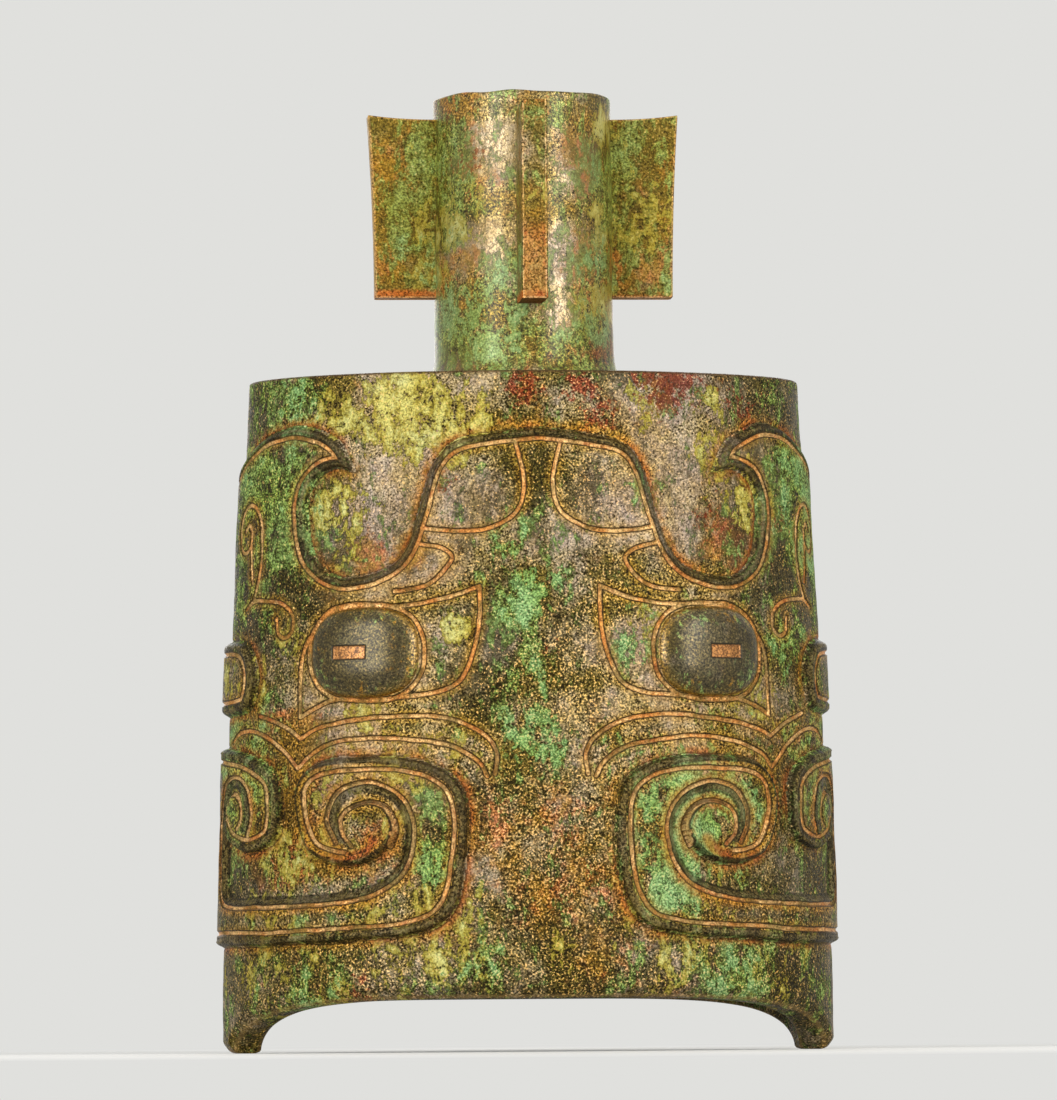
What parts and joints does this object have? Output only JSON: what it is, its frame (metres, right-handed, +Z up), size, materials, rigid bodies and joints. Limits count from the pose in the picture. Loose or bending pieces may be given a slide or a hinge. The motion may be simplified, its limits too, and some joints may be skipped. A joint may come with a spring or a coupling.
{
  "type": "nao bell",
  "caption": "Clapperless bronze bell of leaf-shaped section with a hollow flanged stem and an animal mask in relief on both faces.",
  "frame": {"origin": "on the floor under the middle of the bell, which stands on the two corners of its mouth", "axes": "+Z up through the stem, +X along the width of the mouth to the right ridge, -Y out of the front face"},
  "size_m": [0.2976, 0.1864, 0.456],
  "materials": {
    "wall_bronze": "old cast bronze with green and brown patina",
    "mask_bronze": "old cast bronze with green and brown patina",
    "scroll_bronze": "old cast bronze with mint green patina",
    "eye_bronze": "dark, rubbed bronze",
    "stem_bronze": "old bronze, rubbed and semi-bright",
    "flange_bronze": "old cast bronze with ochre patina"
  },
  "bodies": {
    "root": {"front_wall": "wall_bronze", "back_wall": "wall_bronze", "crown_plate": "wall_bronze", "stem_tube": "stem_bronze", "left_flange": "flange_bronze", "right_flange": "flange_bronze", "front_flange": "flange_bronze", "back_flange": "flange_bronze", "front_mask_field": "mask_bronze", "back_mask_field": "mask_bronze", "front_left_eye": "eye_bronze", "front_right_eye": "eye_bronze", "back_left_eye": "eye_bronze", "back_right_eye": "eye_bronze", "front_left_jaw_scroll": "scroll_bronze", "front_right_jaw_scroll": "scroll_bronze", "back_left_jaw_scroll": "scroll_bronze", "back_right_jaw_scroll": "scroll_bronze", "front_left_ear": "mask_bronze", "front_right_ear": "mask_bronze", "back_left_ear": "mask_bronze", "back_right_ear": "mask_bronze"}
  },
  "joints": []
}
